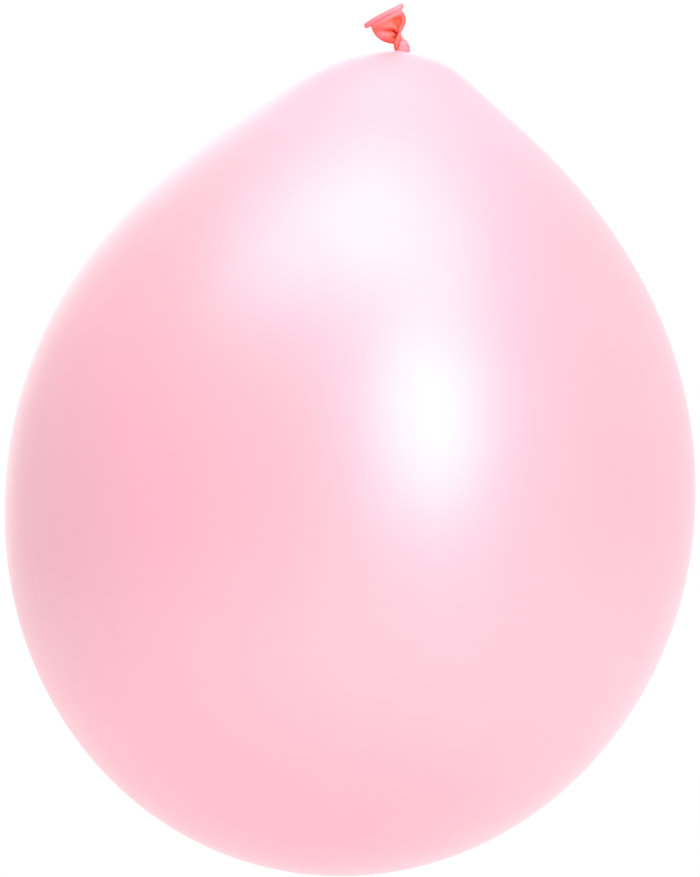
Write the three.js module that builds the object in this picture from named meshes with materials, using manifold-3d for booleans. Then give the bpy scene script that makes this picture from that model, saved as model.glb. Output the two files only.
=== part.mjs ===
// A round latex balloon, blown up to 30 cm and tied in an overhand knot, hanging by its neck.
// Units are millimetres and +Z is up. The origin is the middle of the neck, just under the knot, where a
// ribbon is tied. The blown-up skin hangs below it, and the knot and the loose mouth stand above it.
import * as THREE from "three";
import { mergeVertices } from "three/addons/utils/BufferGeometryUtils.js";
import Module from "manifold-3d";

const wasm = await Module();
wasm.setup();

// The blown-up skin
const equatorRadius = 150; // a 12 inch balloon, blown to its nominal 30 cm
const crownDepth = 161.3; // equator to crown tip; this half is a half ellipsoid
const shoulder = { radius: 58, height: 168.4 }; // where the cone-like shoulder turns into the top dome
const domeHeight = 197; // equator to the top of the dome
const conePulls = [[150, 28.5], [146.5, 102.4]]; // handles of the curve from the equator to the shoulder
const domePulls = [[37.4, 183.8], [25.5, 197]]; // and from the shoulder to the top, as radius and height
const domeTopZ = -0.8;
const skinWall = 0.25; // stands for the real 0.01 to 0.02 mm, which no faceted solid could hold
const restRadius = 6; // flat on the crown tip where the balloon touches a table
const axisLean = 0.025; // the slices drift this far sideways for each millimetre of height
const neckLean = 12.2; // and this much more towards the neck, where one side stretched further
const domeCentreX = -5.3; // the neck stands a little off the centre of the dome
const skinSides = 48;
const crownRings = 12;
const coneRings = 10;
const domeRings = 6;
const roundSides = 24; // of the neck and of the hole it turns in

// The neck and its two bends
const nodZ = -0.9; // pivot where the neck leaves the skin
const swayZ = 0.3; // pivot where the knot sits on the neck
const neckFoot = 1.8; // radius of the round foot that turns in the skin's hole
const neckHead = 1.3; // radius of the round head that the knot turns on
const neckHoleRadius = 2.3;

// The knot
const wrap = { radius: 2.65, halfThickness: 0.7, halfHeight: 1.7, z: 2.5 };
const core = { radius: 1.15, foot: [0, 0, 3.1], head: [-0.6, 0, 4.05] };

// The loose mouth, in its own frame: origin at the throat, X along the rim, Z out of the mouth
const throat = [-1.96, 0, 5.96];
const rimTilt = THREE.MathUtils.degToRad(27.5);
const throatBall = 0.9;
const skirtTop = 9.2;
const skirtOutline = [[throatBall, 0], [1.9, 1.4], [5.2, 3.2], [7.3, 6.2], [7.3, skirtTop]];
const skirtWall = 0.5;
const skirtOffset = -0.9; // the cup is fuller on its left side
const skirtFlatness = 0.34; // its depth over its width
const lobeDrop = 0.35; // how far the left side hangs below the throat
const rim = { halfLength: 8.4, halfDepth: 2.9, centreX: -0.9, z: 10.5, radius: 1.05 };

const paleLatex = { color: 0xffc4d0, roughness: 0.35, metalness: 0.1 };
const coralLatex = { color: 0xff7f7c, roughness: 0.5, metalness: 0 };

const balloon = new THREE.Group();
balloon.name = "latex_balloon";

function addPiece(parent, name, geometry, look) {
  const piece = new THREE.Mesh(geometry, new THREE.MeshStandardMaterial(look));
  piece.name = name;
  parent.add(piece);
  return piece;
}

// Turns a profile of [radius, height] points about Z.
function turned(profile, sides) {
  const points = profile.map(([radius, height]) => new THREE.Vector2(radius, height));
  return new THREE.LatheGeometry(points, sides).rotateX(Math.PI / 2);
}

// Moves every vertex of a geometry with a function of its position.
function reshaped(geometry, move) {
  const position = geometry.getAttribute("position");
  const point = new THREE.Vector3();
  for (let i = 0; i < position.count; i++) {
    move(point.fromBufferAttribute(position, i));
    position.setXYZ(i, point.x, point.y, point.z);
  }
  return geometry;
}

function solidOf(geometry) {
  const bare = geometry.clone();
  bare.deleteAttribute("normal");
  bare.deleteAttribute("uv");
  const merged = mergeVertices(bare, 1e-3);
  return new wasm.Manifold(
    new wasm.Mesh({
      numProp: 3,
      vertProperties: merged.getAttribute("position").array,
      triVerts: new Uint32Array(merged.index.array),
    }),
  );
}

function geometryOf(solid) {
  const mesh = solid.getMesh();
  const geometry = new THREE.BufferGeometry();
  geometry.setAttribute("position", new THREE.BufferAttribute(mesh.vertProperties, 3));
  geometry.setIndex(new THREE.BufferAttribute(mesh.triVerts, 1));
  geometry.computeVertexNormals();
  return geometry;
}

function vectors(pairs) {
  return pairs.map(([x, y]) => new THREE.Vector2(x, y));
}

// The outline of the skin from the crown tip up, as points of radius and height over the equator.
function skinOutline(inset) {
  const bottom = -Math.sqrt(1 - (restRadius / equatorRadius) ** 2) * crownDepth;
  const equator = new THREE.Vector2(equatorRadius, 0);
  const turn = new THREE.Vector2(shoulder.radius, shoulder.height);
  const top = new THREE.Vector2(0, domeHeight);
  const cone = new THREE.CubicBezierCurve(equator, ...vectors(conePulls), turn);
  const dome = new THREE.CubicBezierCurve(turn, ...vectors(domePulls), top);
  const points = [];
  const first = Math.acos(restRadius / equatorRadius);
  for (let i = 0; i < crownRings; i++) {
    const angle = first * (1 - i / crownRings);
    points.push(new THREE.Vector2(Math.cos(angle) * equatorRadius, -Math.sin(angle) * crownDepth));
  }
  points.push(...cone.getSpacedPoints(coneRings), ...dome.getSpacedPoints(domeRings).slice(1));
  const outline = [[0, bottom + inset]];
  points.forEach((point, i) => {
    const before = points[Math.max(i - 1, 0)];
    const after = points[Math.min(i + 1, points.length - 1)];
    const along = after.clone().sub(before).normalize();
    const onAxis = i === points.length - 1;
    const radius = onAxis ? 0 : point.x - along.y * inset;
    const height = i === 0 ? bottom + inset : point.y + along.x * inset;
    outline.push([radius, onAxis ? point.y - inset : height]);
  });
  return outline;
}

// Slides each horizontal slice of the skin sideways, onto the balloon's bent middle line.
function bendSkin(point) {
  const up = Math.max(0, point.z / domeHeight);
  const topDrift = axisLean * domeHeight + neckLean;
  point.x += domeCentreX - topDrift + axisLean * point.z + neckLean * up ** 4;
  point.z += domeTopZ - domeHeight;
}

function makeSkin() {
  const outer = solidOf(reshaped(turned(skinOutline(0), skinSides), bendSkin));
  const inner = solidOf(reshaped(turned(skinOutline(skinWall), skinSides), bendSkin));
  const drillLength = 20;
  const drill = new THREE.CylinderGeometry(neckHoleRadius, neckHoleRadius, drillLength, roundSides);
  const hole = solidOf(drill.rotateX(Math.PI / 2));
  return geometryOf(outer.subtract(inner).subtract(hole));
}

// A bunched stub, round at both ends and thicker at its foot.
function makeNeck() {
  const capSteps = 7;
  const profile = [];
  for (let i = 0; i <= capSteps; i++) {
    const angle = (Math.PI / 2) * (i / capSteps - 1);
    profile.push([neckFoot * Math.cos(angle), nodZ + neckFoot * Math.sin(angle)]);
  }
  for (let i = 0; i <= capSteps; i++) {
    const angle = (Math.PI / 2) * (i / capSteps);
    profile.push([neckHead * Math.cos(angle), swayZ + neckHead * Math.sin(angle)]);
  }
  return turned(profile, roundSides);
}

// A rod with round ends between two points.
function roundedRod(from, to, radius) {
  const capSteps = 6;
  const sides = 20;
  const start = new THREE.Vector3(...from);
  const along = new THREE.Vector3(...to).sub(start);
  const rod = new THREE.CapsuleGeometry(radius, along.length(), capSteps, sides);
  const turn = new THREE.Quaternion();
  turn.setFromUnitVectors(new THREE.Vector3(0, 1, 0), along.clone().normalize());
  const middle = start.addScaledVector(along, 0.5);
  return rod.applyQuaternion(turn).translate(middle.x, middle.y, middle.z);
}

// A closed ring whose section is an ellipse.
function band(radius, halfThickness, halfHeight, sides) {
  const profile = [];
  const steps = 16; // round the section
  for (let i = 0; i <= steps; i++) {
    const angle = (2 * Math.PI * i) / steps;
    profile.push([radius + halfThickness * Math.cos(angle), halfHeight * Math.sin(angle)]);
  }
  return turned(profile, sides);
}

// The skirt is a thin cup on a solid throat. It is turned round, then pressed flat, and its left side is
// let down.
function makeSkirt() {
  const outer = new THREE.SplineCurve(vectors(skirtOutline)).getSpacedPoints(10);
  const profile = [[0, -throatBall]];
  const ballSteps = 4;
  for (let i = 1; i < ballSteps; i++) {
    const angle = (Math.PI / 2) * (i / ballSteps - 1);
    profile.push([throatBall * Math.cos(angle), throatBall * Math.sin(angle)]);
  }
  outer.forEach((point) => profile.push([point.x, point.y]));
  const insideFrom = 4; // the throat is solid up to this point of the outline
  for (let i = outer.length - 1; i >= insideFrom; i--) {
    const along = outer[i].clone().sub(outer[i - 1]).normalize();
    const last = i === outer.length - 1;
    profile.push([outer[i].x - along.y * skirtWall, last ? skirtTop : outer[i].y + along.x * skirtWall]);
  }
  profile.push([0, outer[insideFrom].y + skirtWall]);
  const sides = 36;
  return reshaped(turned(profile, sides), (point) => {
    const out = THREE.MathUtils.smoothstep(point.z, 0, skirtTop / 2);
    point.y *= 1 + (skirtFlatness - 1) * out;
    point.x += skirtOffset * out;
    point.z += lobeDrop * Math.min(0, point.x + throatBall) * (1 - point.z / skirtTop);
  });
}

// The bead is a round ring whose middle line is pulled out into a long ellipse.
function makeRim() {
  const ringRadius = 5;
  const ring = band(ringRadius, rim.radius, rim.radius, 48);
  return reshaped(ring, (point) => {
    const angle = Math.atan2(point.y, point.x);
    const out = Math.hypot(point.x, point.y) - ringRadius;
    const normal = new THREE.Vector2(Math.cos(angle) / rim.halfLength, Math.sin(angle) / rim.halfDepth);
    normal.normalize().multiplyScalar(out);
    point.x = rim.halfLength * Math.cos(angle) + normal.x;
    point.y = rim.halfDepth * Math.sin(angle) + normal.y;
  });
}

addPiece(balloon, "envelope", makeSkin(), paleLatex);
addPiece(balloon, "neck_stem", makeNeck(), coralLatex);

const knot = new THREE.Group();
balloon.add(knot);
const loop = addPiece(
  knot,
  "knot_wrap",
  band(wrap.radius, wrap.halfThickness, wrap.halfHeight, 36),
  coralLatex,
);
loop.position.z = wrap.z;
addPiece(knot, "knot_core", roundedRod(core.foot, core.head, core.radius), coralLatex);

const mouth = new THREE.Group();
mouth.position.set(...throat);
mouth.rotation.y = -rimTilt;
balloon.add(mouth);
addPiece(mouth, "mouth_skirt", makeSkirt(), coralLatex);
const bead = addPiece(mouth, "rolled_rim", makeRim(), coralLatex);
bead.position.set(rim.centreX, 0, rim.z);

export default balloon;
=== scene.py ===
import math

import bmesh
import bpy
from mathutils import Matrix, Vector, noise


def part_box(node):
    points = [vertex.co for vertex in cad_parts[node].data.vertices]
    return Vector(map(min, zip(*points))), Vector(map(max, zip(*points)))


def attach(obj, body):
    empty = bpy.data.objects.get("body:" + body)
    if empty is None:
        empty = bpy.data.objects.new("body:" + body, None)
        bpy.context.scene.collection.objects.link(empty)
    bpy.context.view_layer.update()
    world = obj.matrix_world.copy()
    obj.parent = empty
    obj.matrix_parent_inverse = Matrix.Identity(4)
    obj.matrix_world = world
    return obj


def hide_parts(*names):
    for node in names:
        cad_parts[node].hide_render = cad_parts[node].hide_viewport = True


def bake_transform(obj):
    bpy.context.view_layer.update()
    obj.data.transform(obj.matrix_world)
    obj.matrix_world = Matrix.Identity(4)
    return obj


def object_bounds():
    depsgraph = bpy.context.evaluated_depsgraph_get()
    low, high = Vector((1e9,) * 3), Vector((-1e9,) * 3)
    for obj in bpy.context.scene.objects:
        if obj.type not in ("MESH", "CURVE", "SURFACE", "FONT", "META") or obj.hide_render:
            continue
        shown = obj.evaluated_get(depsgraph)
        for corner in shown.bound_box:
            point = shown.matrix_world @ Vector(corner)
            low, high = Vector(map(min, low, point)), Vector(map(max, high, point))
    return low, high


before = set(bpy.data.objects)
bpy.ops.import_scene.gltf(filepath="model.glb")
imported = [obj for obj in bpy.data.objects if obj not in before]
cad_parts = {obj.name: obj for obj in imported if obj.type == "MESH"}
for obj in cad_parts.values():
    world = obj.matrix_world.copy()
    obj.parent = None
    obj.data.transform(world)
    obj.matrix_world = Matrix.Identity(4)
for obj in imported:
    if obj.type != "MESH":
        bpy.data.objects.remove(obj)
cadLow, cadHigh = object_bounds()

# A round latex balloon, blown up, tied in an overhand knot and hanging by its neck. Each piece is a spun
# form bent into shape by a function of its place.
mm = 0.001


# An sRGB hex colour as linear red, green, blue and alpha.
def linearColour(code):
    channels = [int(code[i:i + 2], 16) / 255 for i in (1, 3, 5)]
    return [c / 12.92 if c <= 0.04045 else ((c + 0.055) / 1.055) ** 2.4 for c in channels] + [1.0]


def addNode(material, kind, settings=None, inputs=None, links=None):
    node = material.node_tree.nodes.new(kind)
    for key, value in (settings or {}).items():
        setattr(node, key, value)
    for key, value in (inputs or {}).items():
        node.inputs[key].default_value = value
    for key, source in (links or {}).items():
        material.node_tree.links.new(source, node.inputs[key])
    return node


def newMaterial(name):
    material = bpy.data.materials.new(name)
    material.use_nodes = True
    material.node_tree.nodes.clear()
    return material


def smoothStep(low, high, value):
    share = min(1.0, max(0.0, (value - low) / (high - low)))
    return share * share * (3 - 2 * share)


def bump(value, centre, width):
    return math.exp(-((value - centre) / width) ** 2)


def bezier(points, t):
    start, pull, push, end = [Vector(point) for point in points]
    return start * (1 - t) ** 3 + pull * 3 * t * (1 - t) ** 2 + push * 3 * t * t * (1 - t) + end * t ** 3


# A profile of (radius, height) points turned about Z, which later steps bend into shape.
def spunForm(profile, steps):
    form = bmesh.new()
    ring = [form.verts.new((radius, 0, height)) for radius, height in profile]
    edges = [form.edges.new(pair) for pair in zip(ring, ring[1:])]
    bmesh.ops.spin(form, geom=ring + edges, axis=(0, 0, 1), cent=(0, 0, 0), angle=2 * math.pi,
                   steps=steps, use_merge=True, use_duplicate=False)
    bmesh.ops.remove_doubles(form, verts=form.verts, dist=1e-6)
    return form


def reshape(form, place):
    for vert in form.verts:
        vert.co = place(vert.co)


# A point, or a number, on the smooth curve through a list of them.
def alongRoute(stops, share):
    last = len(stops) - 1
    t = share * last
    i = min(int(t), last - 1)
    f = t - i
    before, here, there, after = stops[max(i - 1, 0)], stops[i], stops[i + 1], stops[min(i + 2, last)]
    bend = before * 2 - here * 5 + there * 4 - after
    turn = here * 3 - before - there * 3 + after
    return here + (there - before) * (f / 2) + bend * (f * f / 2) + turn * (f ** 3 / 2)


# A round-ended strand along a route, as wide and deep as each stop says, with its flat side facing one way.
# Also gives where each vertex was in the slack rubber that the strand is drawn from.
def strandForm(strand, steps=56, sides=48):
    lookAhead = 0.01  # share of the route over which its direction is taken
    slackLength = 2  # mm, for rubber of 1 mm radius
    pleatTwist = 2  # radians from end to end
    profile = [(0, 0)]
    for i in range(1, steps):
        share = i / steps
        ends = min(1, share / strand["round"], (1 - share) / strand["round"])
        profile.append((math.sqrt(1 - (1 - ends) ** 2), share))
    profile.append((0, 1))
    form = spunForm(profile, sides)
    straight = [(v.co.x, v.co.y, slackLength * v.co.z) for v in form.verts]
    route = [Vector(stop[:3]) for stop in strand["route"]]
    wide = [stop[3] for stop in strand["route"]]
    deep = [stop[4] for stop in strand["route"]]

    def place(co):
        share = co.z
        ahead = alongRoute(route, min(1, share + lookAhead)) - alongRoute(route, max(0, share - lookAhead))
        ahead.normalize()
        out = Vector(strand["facing"])
        aside = ahead.cross(out).normalized()
        out = aside.cross(ahead)
        angle = math.atan2(co.y, co.x)
        pleat = 1 + strand["pleatDepth"] * math.cos(strand["pleats"] * angle + pleatTwist * share)
        return (alongRoute(route, share) + aside * (co.x * alongRoute(wide, share) * pleat)
                + out * (co.y * alongRoute(deep, share) * pleat))

    reshape(form, place)
    return form, straight


# Melts overlapping forms into one closed skin, with creases where they meet.
def fuseForms(forms, voxel, smoothing):
    mesh = bpy.data.meshes.new("unfused")
    together = bmesh.new()
    for form in forms:
        bmesh.ops.recalc_face_normals(form, faces=form.faces)
        form.to_mesh(mesh)
        together.from_mesh(mesh)
        form.free()
    together.to_mesh(mesh)
    together.free()
    holder = bpy.data.objects.new("unfused", mesh)
    bpy.context.scene.collection.objects.link(holder)
    melt = holder.modifiers.new("melt", "REMESH")
    melt.mode = "VOXEL"
    melt.voxel_size = voxel
    fused = bmesh.new()
    fused.from_object(holder, bpy.context.evaluated_depsgraph_get())
    bpy.data.objects.remove(holder)
    bpy.data.meshes.remove(mesh)
    for _ in range(smoothing):
        bmesh.ops.smooth_vert(fused, verts=fused.verts, factor=0.5,
                              use_axis_x=True, use_axis_y=True, use_axis_z=True)
    return fused


# How hollow the surface is at each vertex, from -1 on a ridge to 1 in a crease.
def hollowness(form, reach):
    amounts = []
    form.verts.index_update()
    form.normal_update()
    for vert in form.verts:
        near = [edge.other_vert(vert).co for edge in vert.link_edges]
        middle = sum(near, Vector()) / len(near)
        size = sum((co - vert.co).length for co in near) / len(near)
        amounts.append((middle - vert.co).dot(vert.normal) / size)
    for _ in range(reach):
        amounts = [(amounts[v.index] + sum(amounts[e.other_vert(v).index] for e in v.link_edges))
                   / (1 + len(v.link_edges)) for v in form.verts]
    return amounts


def finishPiece(name, form, material, subdivisions=0, wall=0.0):
    bmesh.ops.recalc_face_normals(form, faces=form.faces)
    for face in form.faces:
        face.smooth = True
    mesh = bpy.data.meshes.new(name)
    form.to_mesh(mesh)
    form.free()
    mesh.materials.append(material)
    piece = bpy.data.objects.new(name, mesh)
    bpy.context.scene.collection.objects.link(piece)
    if wall:
        shell = piece.modifiers.new("wall", "SOLIDIFY")
        shell.thickness = wall
        shell.offset = -1
    if subdivisions:
        smooth = piece.modifiers.new("smooth", "SUBSURF")
        smooth.levels = subdivisions
        smooth.render_levels = subdivisions
    return piece


# Stores one number for each vertex, from a list or worked out from its place.
def paint(piece, name, amount):
    layer = piece.data.attributes.new(name, "FLOAT", "POINT")
    values = amount if isinstance(amount, list) else [amount(v.co) for v in piece.data.vertices]
    layer.data.foreach_set("value", [min(1, max(0, value)) for value in values])


# Stores where each vertex was in mm before the rubber was drawn out, so that creases run along the pull.
def paintFlow(piece, places):
    layer = piece.data.attributes.new("flow", "FLOAT_VECTOR", "POINT")
    layer.data.foreach_set("vector", [part for place in places for part in place])


# Creases along Z, for a piece that is drawn upwards.
def upwardCreases(piece):
    return [(v.co.x / mm, v.co.y / mm, v.co.z / mm / coral["creaseRun"]) for v in piece.data.vertices]


camera = {
    "distance": 3.0, "shownHeight": 0.3813, "centreX": -0.02239, "centreZ": -0.16904,
    "sensorWidth": 36, "clipEnd": 50,
}


def makeCamera():
    data = bpy.data.cameras.new("camera")
    data.sensor_width = camera["sensorWidth"]
    data.lens = data.sensor_width * camera["distance"] / camera["shownHeight"]
    data.clip_end = camera["clipEnd"]
    view = bpy.data.objects.new("camera", data)
    view.location = (camera["centreX"], -camera["distance"], camera["centreZ"])
    view.rotation_euler = (math.pi / 2, 0, 0)
    bpy.context.scene.collection.objects.link(view)
    bpy.context.scene.camera = view


studio = {
    "floorDrop": 0.25, "floorSize": 12.0, "floorColour": "#FCFCFC", "floorRoughness": 0.9,
    "worldColour": "#FFFFFF", "worldStrength": 1.02,
    "lights": {  # spots are measured from the middle of the balloon
        "overhead": {"spot": (-0.03, -0.38, 1.14), "width": 1.58, "height": 0.75, "watts": 9.0},
        "overheadCore": {"spot": (0.04, -0.32, 1.16), "width": 0.27, "height": 0.27, "watts": 0.85},
        "strip": {"spot": (0.83, -1.69, 0.66), "width": 0.67, "height": 1.36, "watts": 23.8},
        "backFill": {"spot": (-0.3, 1.8, 0.5), "width": 1.4, "height": 1.4, "watts": 11.0},
    },
}


def makeStudio(middle):
    floorZ = cadLow.z - studio["floorDrop"]
    form = bmesh.new()
    bmesh.ops.create_grid(form, x_segments=1, y_segments=1, size=studio["floorSize"] / 2)
    bmesh.ops.translate(form, verts=form.verts, vec=(0, 0, floorZ))
    paper = newMaterial("white_paper_floor")
    shader = addNode(paper, "ShaderNodeBsdfPrincipled",
                     inputs={"Base Color": linearColour(studio["floorColour"]),
                             "Roughness": studio["floorRoughness"]})
    addNode(paper, "ShaderNodeOutputMaterial", links={"Surface": shader.outputs[0]})
    finishPiece("floor", form, paper)

    world = bpy.data.worlds.new("studio")
    world.use_nodes = True
    sky = world.node_tree.nodes["Background"]
    sky.inputs["Color"].default_value = linearColour(studio["worldColour"])
    sky.inputs["Strength"].default_value = studio["worldStrength"]
    bpy.context.scene.world = world
    bpy.context.scene.view_settings.view_transform = "Standard"

    for name, light in studio["lights"].items():
        data = bpy.data.lights.new(name, "AREA")
        data.shape = "RECTANGLE"
        data.size = light["width"]
        data.size_y = light["height"]
        data.energy = light["watts"]
        lamp = bpy.data.objects.new(name, data)
        lamp.location = Vector(light["spot"]) + middle
        lamp.rotation_euler = (middle - lamp.location).to_track_quat("-Z", "Y").to_euler()
        bpy.context.scene.collection.objects.link(lamp)


# Natural latex with mica pearl pigment, dipped, then stretched thin by the air: pale, with the broad whitish
# gloss of the pearl, so the IOR is that of the titania on the mica and the roughness a satin. Where the
# rubber is less stretched, round the neck and at the tip of the crown, it is thicker and deeper in colour.
# The lower part of the balloon is painted deeper as well, painted shade for its underside, and the top under
# the neck is painted paler and lilac, a painted highlight from the overhead light.
pearl = {
    "stretched": "#CF8496", "stretchedDeep": "#CC7E8F", "paintedTopLightColour": "#D59CAB", "slackAndShade": "#DC4C66",
    "roughness": 0.47, "roughnessSpread": 0.03, "ior": 2.5, "sheen": 0.25, "sheenRoughness": 0.5,
    "cloudSize": 45.0, "runLength": 140.0, "runWidth": 16.0,  # mm, the uneven dip
    "runShare": 0.5,  # how much of the unevenness is runs, and the rest is cloud
    "mottleSize": 2.5, "mottleDepth": 0.012,  # mm
}


def makePearlLatex():
    material = newMaterial("stretched_pearl_latex")
    place = addNode(material, "ShaderNodeTexCoord").outputs["Object"]
    runs = addNode(material, "ShaderNodeMapping",
                   inputs={"Scale": (1 / (pearl["runWidth"] * mm), 1 / (pearl["runWidth"] * mm),
                                     1 / (pearl["runLength"] * mm))},
                   links={"Vector": place})
    streaks = addNode(material, "ShaderNodeTexNoise", inputs={"Scale": 1.0, "Detail": 2.0},
                      links={"Vector": runs.outputs["Vector"]})
    cloud = addNode(material, "ShaderNodeTexNoise",
                    inputs={"Scale": 1 / (pearl["cloudSize"] * mm), "Detail": 3.0, "Roughness": 0.5},
                    links={"Vector": place})
    clouds = addNode(material, "ShaderNodeMath", {"operation": "MULTIPLY"}, {1: 1 - pearl["runShare"]},
                     {0: cloud.outputs["Fac"]})
    uneven = addNode(material, "ShaderNodeMath", {"operation": "MULTIPLY_ADD"}, {1: pearl["runShare"]},
                     {0: streaks.outputs["Fac"], 2: clouds.outputs["Value"]})
    body = addNode(material, "ShaderNodeMix", {"data_type": "RGBA"},
                   links={"Factor": uneven.outputs["Value"]})
    body.inputs["A"].default_value = linearColour(pearl["stretched"])
    body.inputs["B"].default_value = linearColour(pearl["stretchedDeep"])
    # painted highlight: the top of the balloon is mixed towards a paler, lilac colour
    paintedTopLight = addNode(material, "ShaderNodeAttribute", {"attribute_name": "paintedTopLight"})
    paler = addNode(material, "ShaderNodeMix", {"data_type": "RGBA"},
                    links={"Factor": paintedTopLight.outputs["Fac"], "A": body.outputs["Result"]})
    paler.inputs["B"].default_value = linearColour(pearl["paintedTopLightColour"])
    # the slack colour also carries painted shade on the lower part of the balloon
    slackAndShade = addNode(material, "ShaderNodeAttribute", {"attribute_name": "slackAndShade"})
    colour = addNode(material, "ShaderNodeMix", {"data_type": "RGBA"},
                     links={"Factor": slackAndShade.outputs["Fac"], "A": paler.outputs["Result"]})
    colour.inputs["B"].default_value = linearColour(pearl["slackAndShade"])
    gloss = addNode(material, "ShaderNodeMapRange",
                    inputs={"To Min": pearl["roughness"] - pearl["roughnessSpread"],
                            "To Max": pearl["roughness"] + pearl["roughnessSpread"]},
                    links={"Value": uneven.outputs["Value"]})
    mottle = addNode(material, "ShaderNodeTexNoise",
                     inputs={"Scale": 1 / (pearl["mottleSize"] * mm), "Detail": 3.0}, links={"Vector": place})
    grain = addNode(material, "ShaderNodeBump",
                    inputs={"Strength": 1.0, "Distance": pearl["mottleDepth"] * mm},
                    links={"Height": mottle.outputs["Fac"]})
    shader = addNode(material, "ShaderNodeBsdfPrincipled",
                     inputs={"IOR": pearl["ior"], "Sheen Weight": pearl["sheen"],
                             "Sheen Roughness": pearl["sheenRoughness"]},
                     links={"Base Color": colour.outputs["Result"], "Roughness": gloss.outputs["Result"],
                            "Normal": grain.outputs["Normal"]})
    addNode(material, "ShaderNodeOutputMaterial", links={"Surface": shader.outputs[0]})
    return material


# The same latex before it is stretched: thick, so the dye reads as coral, paler where it is drawn tight.
# The ridges, the lip and the bead are painted paler still, a painted highlight, and the folds and creases
# orange and then deep red, painted shade standing in for the shade and the light passed through several
# layers in them.
# Stretching and rolling leave fine creases along the strand and round the lip.
coral = {
    "tones": [(0.0, "#EC7F89"), (0.12, "#E87179"), (0.25, "#E5655F"), (0.45, "#E2564F"), (0.72, "#DE482A"),
              (1.0, "#9E1411")],
    "roughness": 0.5, "ior": 1.52,
    "scatter": 0.2, "scatterSize": 1.2, "scatterReach": (1.0, 0.35, 0.25),  # mm, and red light goes furthest
    "creaseWidth": 0.28, "creaseDepth": 0.05, "creaseRun": 3,  # mm, and how much longer than wide they are
}


def makeCoralLatex():
    material = newMaterial("slack_coral_latex")
    flow = addNode(material, "ShaderNodeAttribute", {"attribute_name": "flow"})
    # painted light and shade: this value places each spot on the tones, paler on ridges and deeper in creases
    toneLightAndShade = addNode(material, "ShaderNodeAttribute", {"attribute_name": "toneLightAndShade"})
    ramp = addNode(material, "ShaderNodeValToRGB", links={"Fac": toneLightAndShade.outputs["Fac"]})
    stops = ramp.color_ramp.elements
    for _ in coral["tones"][2:]:
        stops.new(0.5)  # its place is set below
    for stop, (spot, colour) in zip(stops, coral["tones"]):
        stop.position = spot
        stop.color = linearColour(colour)
    creases = addNode(material, "ShaderNodeTexNoise",
                      inputs={"Scale": 1 / coral["creaseWidth"], "Detail": 2.0, "Roughness": 0.6},
                      links={"Vector": flow.outputs["Vector"]})
    relief = addNode(material, "ShaderNodeBump",
                     inputs={"Strength": 1.0, "Distance": coral["creaseDepth"] * mm},
                     links={"Height": creases.outputs["Fac"]})
    shader = addNode(material, "ShaderNodeBsdfPrincipled",
                     inputs={"Roughness": coral["roughness"], "IOR": coral["ior"],
                             "Subsurface Weight": coral["scatter"],
                             "Subsurface Radius": coral["scatterReach"],
                             "Subsurface Scale": coral["scatterSize"] * mm},
                     links={"Base Color": ramp.outputs["Color"], "Normal": relief.outputs["Normal"]})
    addNode(material, "ShaderNodeOutputMaterial", links={"Surface": shader.outputs[0]})
    return material


# The outline and its leans are in shares of the equator's radius, with heights over the equator.
skin = {
    "crownDepth": 1.0753,
    "cone": [(1, 0), (1, 0.19), (0.9767, 0.6827), (0.3867, 1.1227)],
    "dome": [(0.3867, 1.1227), (0.2493, 1.2253), (0.17, 1.3133), (0, 1.3133)],
    "lean": 0.025, "neckLean": 0.0813, "neckOffset": 0.0353, "domeRadius": 0.44,
    "holeShare": 0.0285, "steps": 200, "crownRings": 42, "coneRings": 48, "domeRings": 44,
    "wall": 0.25 * mm,
    "puckerFrom": 2.2 * mm, "puckerRise": 0.9 * mm, "puckerReach": 1.3 * mm,
    "pleats": 13, "pleatDepth": 0.1 * mm, "pleatReach": 2.6 * mm,
    "widePleats": 7, "widePleatShare": 0.6, "widePleatFrom": 3 * mm,
    "puckerArea": 30 * mm,  # nothing is puckered further from the neck than this
    "neckSlack": 0.8, "neckSlackFrom": 2 * mm, "neckSlackReach": 2.8 * mm,
    "neckFlush": 0.3, "neckFlushReach": 11 * mm, "neckSlackLow": -50 * mm,
    # the low share here is painted shade: the lowest 110 mm of the balloon are painted deeper in colour for
    # the shade on its underside
    "crownSlack": 0.12, "crownSlackReach": 8 * mm, "lowShade": 0.3, "lowShadeFrom": 110 * mm,
    "paintedTopLight": 0.35, "paintedTopLightFrom": -90 * mm, "paintedTopLightTo": -15 * mm,  # painted highlight: the top under the neck is painted paler and lilac, for the overhead light and the glow on the shoulders
}


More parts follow.
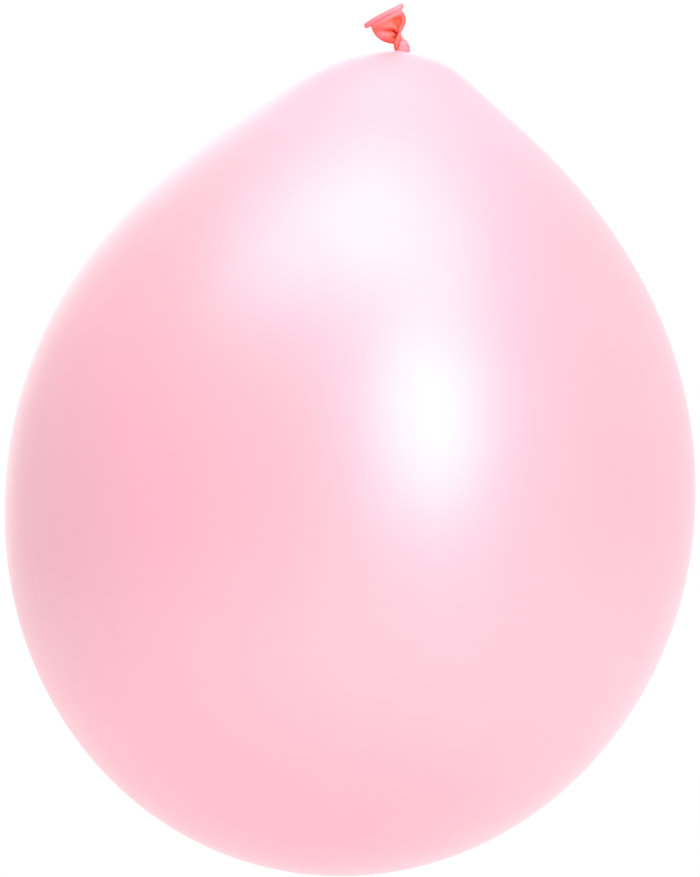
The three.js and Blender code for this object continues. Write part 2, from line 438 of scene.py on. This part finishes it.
def makeSkin(material):
    low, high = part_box("envelope")
    radius = (high.y - low.y) / 2
    domeTop = skin["dome"][3][1] * radius
    profile = []
    for i in range(skin["crownRings"]):
        angle = math.pi / 2 * (1 - i / skin["crownRings"])
        profile.append((math.cos(angle) * radius, -math.sin(angle) * radius * skin["crownDepth"]))
    profile[0] = (0, profile[0][1])
    for i in range(skin["coneRings"]):
        profile.append(tuple(bezier(skin["cone"], i / skin["coneRings"]) * radius))
    for i in range(skin["domeRings"] + 1):
        t = 1 - skin["holeShare"] ** (i / skin["domeRings"])
        profile.append(tuple(bezier(skin["dome"], t) * radius))
    form = spunForm(profile, skin["steps"])
    shoulder = skin["cone"][3][0]
    hub = Vector((0, 0, domeTop - skin["domeRadius"] * radius))

    def place(co):
        out = math.hypot(co.x, co.y) / radius
        if co.z > 0 and out < shoulder:  # turn the cap so that its pole is at the neck
            share = 1 - smoothStep(0, shoulder, out)
            turn = Matrix.Rotation(share * skin["neckOffset"] / skin["domeRadius"], 3, "Y")
            co = hub + turn @ (co - hub)
        up = max(0.0, co.z / domeTop)
        drift = skin["lean"] * (co.z - domeTop) + skin["neckLean"] * radius * (up ** 4 - 1)
        spot = Vector((co.x + drift - skin["neckOffset"] * radius, co.y, co.z + high.z - domeTop))
        near = math.hypot(spot.x, spot.y)
        if co.z > 0 and near < skin["puckerArea"]:
            angle = math.atan2(spot.y, spot.x)
            away = max(0.0, near - skin["puckerFrom"])
            wide = skin["widePleatShare"] * math.cos(skin["widePleats"] * angle + 1)
            pleat = math.cos(skin["pleats"] * angle) + wide * min(1, away / skin["widePleatFrom"])
            spot.z += skin["puckerRise"] * math.exp(-away / skin["puckerReach"])
            spot.z += skin["pleatDepth"] * pleat * math.exp(-away / skin["pleatReach"])
        return spot

    reshape(form, place)
    piece = finishPiece("balloon_skin", form, material, wall=skin["wall"])
    crown = Vector(((low.x + high.x) / 2, 0, low.z))

    def slacknessAndShade(co):
        if co.z > skin["neckSlackLow"]:
            away = max(0.0, co.xy.length - skin["neckSlackFrom"])
            close = skin["neckSlack"] * math.exp(-away / skin["neckSlackReach"])
            return max(close, skin["neckFlush"] * bump(co.xy.length, 0, skin["neckFlushReach"]))
        tip = skin["crownSlack"] * math.exp(-(co - crown).length / skin["crownSlackReach"])
        # painted shade: the lower part of the balloon is painted deeper in colour
        return tip + skin["lowShade"] * smoothStep(skin["lowShadeFrom"], 0, co.z - low.z)

    paint(piece, "slackAndShade", slacknessAndShade)
    # painted highlight: paler and lilac towards the neck
    paint(piece, "paintedTopLight", lambda co: skin["paintedTopLight"] * smoothStep(skin["paintedTopLightFrom"], skin["paintedTopLightTo"], co.z))
    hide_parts("envelope")
    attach(piece, "balloon")


# The gathered neck under the knot, in mm. Only its foot shows, where the pleats fan out into the skin.
stem = {
    "foot": 3.3, "waist": 2.5, "low": -1.45, "high": 1.5, "steps": 16, "sides": 104,
    "pleats": 13, "pleatDepth": 0.14, "twist": 0.5,
    "tone": 0.25, "pleatValleyShade": 0.15,  # painted shade: the valleys between the pleats are painted deeper in colour, the crests paler
}


def stemWave(co):
    return math.cos(stem["pleats"] * math.atan2(co.y, co.x) + co.z / mm * stem["twist"])


def makeStem(material):
    profile = [(0, stem["low"] * mm)]
    for i in range(stem["steps"] + 1):
        share = i / stem["steps"]
        height = stem["low"] + (stem["high"] - stem["low"]) * share
        wide = stem["waist"] + (stem["foot"] - stem["waist"]) * (1 - smoothStep(0, 0.5, share))
        profile.append((wide * mm, height * mm))
    profile.append((0, stem["high"] * mm))
    form = spunForm(profile, stem["sides"])

    def place(co):
        rim = min(1, co.xy.length / (stem["waist"] * mm))
        out = 1 + stemWave(co) * stem["pleatDepth"] / stem["waist"] * rim
        return Vector((co.x * out, co.y * out, co.z))

    reshape(form, place)
    piece = finishPiece("neck_pleats", form, material, subdivisions=1)
    # painted shade: deeper in the pleat valleys, paler on the crests
    paint(piece, "toneLightAndShade", lambda co: stem["tone"] - stem["pleatValleyShade"] * stemWave(co))
    paintFlow(piece, upwardCreases(piece))
    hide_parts("neck_stem")
    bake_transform(piece)


# The knot itself, in mm. Each stop of a strand is x, y, z, half its width and half its depth.
knot = {
    "lump": [(0, -0.7), (2.3, -0.95), (3.0, -0.8), (3.2, -0.3), (3.2, 0.4), (3.05, 1.6), (2.75, 2.7),
             (1.95, 3.6), (1.0, 4.2), (0, 4.4)],
    "lumpCentre": (0.45, 0.25), "lumpSteps": 48, "lumpSides": 96,
    "ribs": 5, "ribDepth": 0.02, "dimpleSize": 1.8, "dimpleDepth": 0.05,
    "over": {  # the turn that crosses the back of the knot
        "route": [(2.3, 1.4, -0.5, 0.9, 0.7), (1.7, 2.3, 1.0, 1.25, 0.9), (0.2, 2.45, 2.6, 1.3, 0.9),
                  (-1.0, 1.5, 3.9, 1.1, 0.9), (-1.0, 0.3, 5.0, 0.95, 0.8), (-1.2, -0.4, 6.1, 0.75, 0.6)],
        "facing": (0, 1, 0.3), "round": 0.08, "pleats": 7, "pleatDepth": 0.07,
    },
    "under": {  # the turn that comes round the left, below it
        "route": [(-2.2, -1.3, 1.3, 0.9, 0.7), (-2.5, 0.3, 1.3, 1.15, 0.8), (-1.9, 1.9, 0.9, 1.15, 0.8),
                  (-0.4, 2.7, 0.2, 1.0, 0.8), (1.2, 2.7, -0.4, 0.7, 0.6)],
        "facing": (-0.5, 1, 0), "round": 0.08, "pleats": 7, "pleatDepth": 0.07,
    },
    "web": {  # rubber drawn down from the strand to the shoulder of the knot
        "route": [(-1.0, -0.2, 7.7, 0.45, 0.9), (-0.7, -0.2, 6.0, 0.85, 1.1), (-0.05, -0.1, 4.2, 1.1, 1.2),
                  (1.5, 0.0, 3.1, 1.1, 1.1), (2.2, 0.2, 1.8, 0.9, 0.8)],
        "facing": (0, 1, 0), "round": 0.08, "pleats": 6, "pleatDepth": 0.05,
    },
    "voxel": 0.09, "smoothing": 3, "creaseReach": 4,
    "tone": 0.12, "creaseShade": 9,  # painted shade: the creases are painted deeper in colour, the ridges paler
}


def makeTurn(material):
    outline = [Vector(point) for point in knot["lump"]]
    steps = knot["lumpSteps"]
    profile = [tuple(alongRoute(outline, i / steps)) for i in range(steps + 1)]
    profile[0] = (0, profile[0][1])
    profile[-1] = (0, profile[-1][1])
    lump = spunForm(profile, knot["lumpSides"])

    def place(co):
        rib = math.cos(knot["ribs"] * math.atan2(co.y, co.x) + co.z)
        dimple = noise.noise(co / knot["dimpleSize"])
        swell = 1 + knot["ribDepth"] * rib + knot["dimpleDepth"] * dimple
        return Vector((co.x * swell + knot["lumpCentre"][0], co.y * swell + knot["lumpCentre"][1], co.z))

    reshape(lump, place)
    turns = [strandForm(knot[name])[0] for name in ("over", "under", "web")]
    form = fuseForms([lump] + turns, knot["voxel"], knot["smoothing"])
    hollow = hollowness(form, knot["creaseReach"])
    bmesh.ops.scale(form, verts=form.verts, vec=(mm, mm, mm))
    piece = finishPiece("knot_turn", form, material)
    # painted shade: deeper in the creases, paler on the ridges
    paint(piece, "toneLightAndShade", [knot["tone"] + knot["creaseShade"] * amount for amount in hollow])
    paintFlow(piece, upwardCreases(piece))
    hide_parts("knot_wrap")
    bendAtThroat(piece)


# The end of the neck, drawn up out of the knot and into the loose mouth.
strand = {
    "route": [(-1.6, -0.9, -0.9, 1.0, 0.9), (-1.95, -1.55, 0.8, 1.2, 1.1), (-2.05, -1.85, 2.8, 1.4, 1.15),
              (-1.45, -1.6, 4.9, 1.1, 1.0), (-1.0, -1.3, 7.0, 0.68, 0.75), (-0.7, -1.3, 8.7, 0.74, 0.8),
              (-0.15, -1.15, 10.3, 0.74, 0.75), (0.6, -0.5, 12.3, 0.6, 0.4)],
    "facing": (0, 1, 0), "round": 0.06, "pleats": 6, "pleatDepth": 0.06,
    "tone": 0.56, "paleness": 0.2, "paleFrom": 4 * mm, "paleTo": 9 * mm,  # tighter towards the mouth
}


def makeStrand(material):
    form, straight = strandForm(strand, steps=72, sides=64)
    bmesh.ops.scale(form, verts=form.verts, vec=(mm, mm, mm))
    piece = finishPiece("knot_strand", form, material, subdivisions=1)
    paint(piece, "toneLightAndShade", lambda co: strand["tone"] - strand["paleness"]
          * smoothStep(strand["paleFrom"], strand["paleTo"], co.z))
    paintFlow(piece, straight)
    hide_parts("knot_core")
    bendAtThroat(piece)


# The loose mouth in its own frame, in mm: X along the rim, Z out of the mouth, Y away from the front.
# Each fold is a route of x, z, half its width and its height, where a valley's height is below 0.
mouth = {
    "throat": (-1.96, 0, 5.96), "tilt": math.radians(27.5),
    "left": [(-2.0, -2.3), (-4.2, -1.3), (-9.5, 2.4), (-7.5, 9.4)],
    "right": [(1.2, 0.3), (3.2, 1.95), (8.4, 3.6), (6.4, 9.4)],
    "throatDepth": 1.0, "bellyDepth": 2.2, "mouthDepth": 2.7, "leastDepth": 0.4, "edgeRoundness": 0.75,
    "wall": 0.45, "rings": 56, "sides": 150,
    "front": [
        [(1.4, 0.3, 0.6, 0.0), (2.5, 1.7, 0.7, 0.4), (3.85, 3.0, 0.85, 0.9), (5.8, 5.1, 0.9, 0.9),
         (6.3, 7.2, 0.8, 0.3)],
        [(0.8, 1.3, 0.35, -0.5), (2.0, 2.6, 0.55, -1.3), (3.3, 4.1, 0.9, -1.5), (4.6, 5.6, 1.2, -1.2),
         (5.0, 7.2, 0.9, -0.1)],
        [(0.7, 7.2, 1.1, -0.5), (3.0, 6.1, 1.5, -1.1), (4.6, 5.7, 1.3, -0.6)],
        [(0.8, 1.6, 0.35, 0.5), (1.1, 2.9, 0.45, 0.8), (0.3, 4.1, 0.55, 0.9), (-2.2, 5.2, 0.6, 0.8),
         (-5.4, 6.4, 0.7, 0.3)],
        [(-0.1, 0.0, 0.4, -0.8), (0.1, 1.4, 0.5, -1.3), (-0.8, 2.9, 0.7, -1.3), (-3.2, 4.1, 0.9, -0.9),
         (-6.4, 5.6, 0.9, -0.3)],
        [(-0.9, -0.6, 0.4, -0.9), (-1.8, 0.2, 0.5, -0.9), (-3.0, 1.0, 0.6, -0.3)],
        [(-2.4, 1.0, 0.8, 0.4), (-4.0, 1.8, 1.2, 0.8), (-5.8, 3.4, 1.1, 0.6)],
    ],
    "back": [
        [(0.6, 0.8, 0.5, -0.6), (2.6, 4.0, 0.8, -1.0), (3.8, 7.0, 1.1, -0.2)],
        [(0.0, 1.0, 0.5, 0.4), (0.6, 4.0, 0.9, 0.7), (0.8, 7.5, 1.4, 0.1)],
        [(-0.8, 0.6, 0.5, -0.7), (-1.9, 3.6, 0.8, -1.0), (-3.0, 7.0, 1.1, -0.2)],
        [(-2.4, -0.6, 0.6, 0.3), (-4.2, 2.2, 1.1, 0.7), (-5.6, 6.0, 1.2, 0.2)],
    ],
    "spotsPerStop": 8, "ridgeSharpness": 2, "valleySharpness": 1.3,  # ridges are round, valleys are creased
    "foldsFade": (0.84, 0.97), "lipJoin": 0.96,  # shares of the way up
    # painted light and shade: the ridges are painted paler as a painted highlight and the valleys deeper as
    # painted shade
    "tone": 0.43, "ridgeHighlight": 0.05, "valleyShade": 0.3, "deepestShade": 0.74,
    "thinSpot": (-6.2, 3.0), "thinReach": 2.4, "thinPaleness": 0.3,
    "throatShade": 0.6, "throatShadeReach": 2.6,
    "lipHighlight": 0.05, "lipFrom": 7.2, "lipTo": 9.0,  # painted highlight: the lip is painted as pale as the bead
    "slackSize": 3,  # the radius and length of the rubber that the skirt is drawn from
    "rimX": -1.0, "rimZ": 10.43, "rimSlope": 0.02, "rimHalf": 8.5, "rimDepth": 2.7,
    "rimInset": 0.6,  # how far inside the bead the skirt ends
    "bendLow": (0, 0, -2.5 * mm), "bendHigh": (0, 0, 3 * mm),  # metres
}
mouthFrame = (Matrix.Translation(Vector(mouth["throat"]) * mm)
              @ Matrix.Rotation(-mouth["tilt"], 4, "Y"))


# Bakes a piece's transform into its mesh; the knot, strand and skirt are not bent here.
def bendAtThroat(piece):
    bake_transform(piece)


# Every fold of one side as a chain of spots, each with its half width and height.
def foldSpots(tonesLightAndShade):
    chains = []
    for stops in tonesLightAndShade:
        stops = [Vector(stop) for stop in stops]
        count = mouth["spotsPerStop"] * (len(stops) - 1)
        chains.append([alongRoute(stops, i / count) for i in range(count + 1)])
    return chains


# How far the folds lift the surface, in mm, at a place on one side.
def relief(x, z, chains):
    height = 0.0
    for chain in chains:
        near = min(chain, key=lambda spot: math.hypot(spot.x - x, spot.y - z) / spot.z)
        away = math.hypot(near.x - x, near.y - z) / near.z
        sharpness = mouth["ridgeSharpness"] if near.w > 0 else mouth["valleySharpness"]
        height += near.w * math.exp(-away ** sharpness / 2)
    return height


# The middle of the bead, in mm, at an angle round the mouth, or a line that far inside it.
def rimLine(angle, inset=0.0):
    x = (mouth["rimHalf"] - inset) * math.cos(angle) + mouth["rimX"]
    y = (mouth["rimDepth"] - inset) * math.sin(angle)
    return Vector((x, y, mouth["rimZ"] + mouth["rimSlope"] * x))


def makeSkirt(material):
    profile = [(1.0, i / mouth["rings"]) for i in range(mouth["rings"] + 1)]
    form = spunForm(profile, mouth["sides"])
    flow = [mouth["slackSize"] * v.co for v in form.verts]
    front = foldSpots(mouth["front"])
    back = foldSpots(mouth["back"])
    tonesLightAndShade = []

    def place(co):
        left = bezier(mouth["left"], co.z)
        right = bezier(mouth["right"], co.z)
        across = left.lerp(right, 0.5 + 0.5 * co.x)
        depth = mouth["throatDepth"] + (mouth["bellyDepth"] - mouth["throatDepth"]) * smoothStep(0, 0.5, co.z)
        depth += (mouth["mouthDepth"] - mouth["bellyDepth"]) * smoothStep(0.5, 1, co.z)
        side = 1 if co.y > 0 else -1
        height = relief(across.x, across.y, back if side > 0 else front)
        height *= 1 - smoothStep(*mouth["foldsFade"], co.z)
        # painted light and shade: ridges paler, valleys deeper, deepest near the throat
        if height > 0:
            toneLightAndShade = mouth["tone"] - mouth["ridgeHighlight"] * height
        else:
            toneLightAndShade = min(mouth["deepestShade"], mouth["tone"] - mouth["valleyShade"] * height)
        shade = math.exp(-((across.x ** 2 + across.y ** 2) / mouth["throatShadeReach"] ** 2))
        toneLightAndShade += mouth["throatShade"] * shade * max(0, -height)
        thin = (across - Vector(mouth["thinSpot"])).length / mouth["thinReach"]
        toneLightAndShade -= mouth["thinPaleness"] * math.exp(-thin ** 2)  # drawn tight over the fullest bulge
        # painted highlight: the lip is mixed towards a pale tone
        lip = smoothStep(mouth["lipFrom"], mouth["lipTo"], across.y)
        tonesLightAndShade.append(toneLightAndShade + (mouth["lipHighlight"] - toneLightAndShade) * lip)
        swell = abs(co.y) ** mouth["edgeRoundness"] * depth + smoothStep(0, 0.5, abs(co.y)) * height
        least = mouth["leastDepth"] * smoothStep(0, 0.3, abs(co.y))
        if swell < 2 * least:  # a deep valley flattens out before it meets the other side
            swell = least * (1 + math.exp(swell / least - 2))
        spot = Vector((across.x, side * swell, across.y))
        lipSpot = rimLine(math.atan2(co.y, co.x), mouth["rimInset"])
        return spot.lerp(lipSpot, smoothStep(mouth["lipJoin"], 1, co.z)) * mm

    reshape(form, place)
    piece = finishPiece("mouth_skirt_folds", form, material, subdivisions=1, wall=mouth["wall"] * mm)
    paint(piece, "toneLightAndShade", tonesLightAndShade)
    paintFlow(piece, flow)
    piece.data.transform(mouthFrame)
    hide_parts("mouth_skirt")
    bendAtThroat(piece)


# The rolled bead: a small round ring whose middle is drawn out along the rim's line. Angles are in degrees.
bead = {
    "radius": 1.28 * mm, "ringRadius": 1.9 * mm, "segments": 32, "steps": 140,
    "grooveDepth": 0.09, "grooveTurn": -62, "grooveWidth": 10, "grooveDrift": 8,  # where the roll ends
    "unevenness": 0.04, "unevenScale": 2.0, "wobble": 0.08,
    "tone": 0.12, "paleness": 0.1, "paleFrom": 1 * mm, "paleTo": 8 * mm,  # painted light: deeper at the left end, where light passes through the bead edge-on, paler towards the right; along the rim, before it is tilted
}


def makeRim(material):
    form = bmesh.new()
    section = bmesh.ops.create_circle(form, cap_ends=False, segments=bead["segments"],
                                      radius=bead["radius"])["verts"]
    bmesh.ops.rotate(form, verts=section, cent=(0, 0, 0), matrix=Matrix.Rotation(math.pi / 2, 3, "X"))
    bmesh.ops.translate(form, verts=section, vec=(bead["ringRadius"], 0, 0))
    bmesh.ops.spin(form, geom=list(form.verts) + list(form.edges), axis=(0, 0, 1), cent=(0, 0, 0),
                   angle=2 * math.pi, steps=bead["steps"], use_merge=True, use_duplicate=False)
    bmesh.ops.remove_doubles(form, verts=form.verts, dist=1e-7)
    flow = [v.co / mm for v in form.verts]

    def place(co):
        angle = math.atan2(co.y, co.x)
        out = (co.xy.length - bead["ringRadius"]) / mm
        turn = math.degrees(math.atan2(co.z / mm, out))
        rollEnd = bead["grooveTurn"] + bead["grooveDrift"] * math.sin(2 * angle)
        groove = 1 - bead["grooveDepth"] * bump(turn, rollEnd, bead["grooveWidth"])
        outward = Vector((math.cos(angle), math.sin(angle), 0))
        swell = groove * (1 + bead["unevenness"] * noise.noise(outward * bead["unevenScale"]))
        aside = Vector((outward.x / mouth["rimHalf"], outward.y / mouth["rimDepth"], 0)).normalized()
        wobble = bead["wobble"] * math.sin(angle * 3 + 1)
        return (rimLine(angle) + aside * (out * swell) + Vector((0, 0, co.z / mm * swell + wobble))) * mm

    reshape(form, place)
    piece = finishPiece("rolled_mouth_bead", form, material, subdivisions=1)
    # painted light: paler towards the right end of the bead
    paint(piece, "toneLightAndShade", lambda co: bead["tone"] - bead["paleness"]
          * smoothStep(bead["paleFrom"], bead["paleTo"], co.x))
    paintFlow(piece, flow)
    piece.data.transform(mouthFrame)
    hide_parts("rolled_rim")
    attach(piece, "mouth")


makeCamera()
makeStudio((cadLow + cadHigh) / 2)
print("camera and studio ready")
pearlLatex = makePearlLatex()
coralLatex = makeCoralLatex()
makeSkin(pearlLatex)
print("skin blown up")
makeStem(coralLatex)
makeTurn(coralLatex)
makeStrand(coralLatex)
print("knot tied")
makeSkirt(coralLatex)
makeRim(coralLatex)
print("mouth folded")
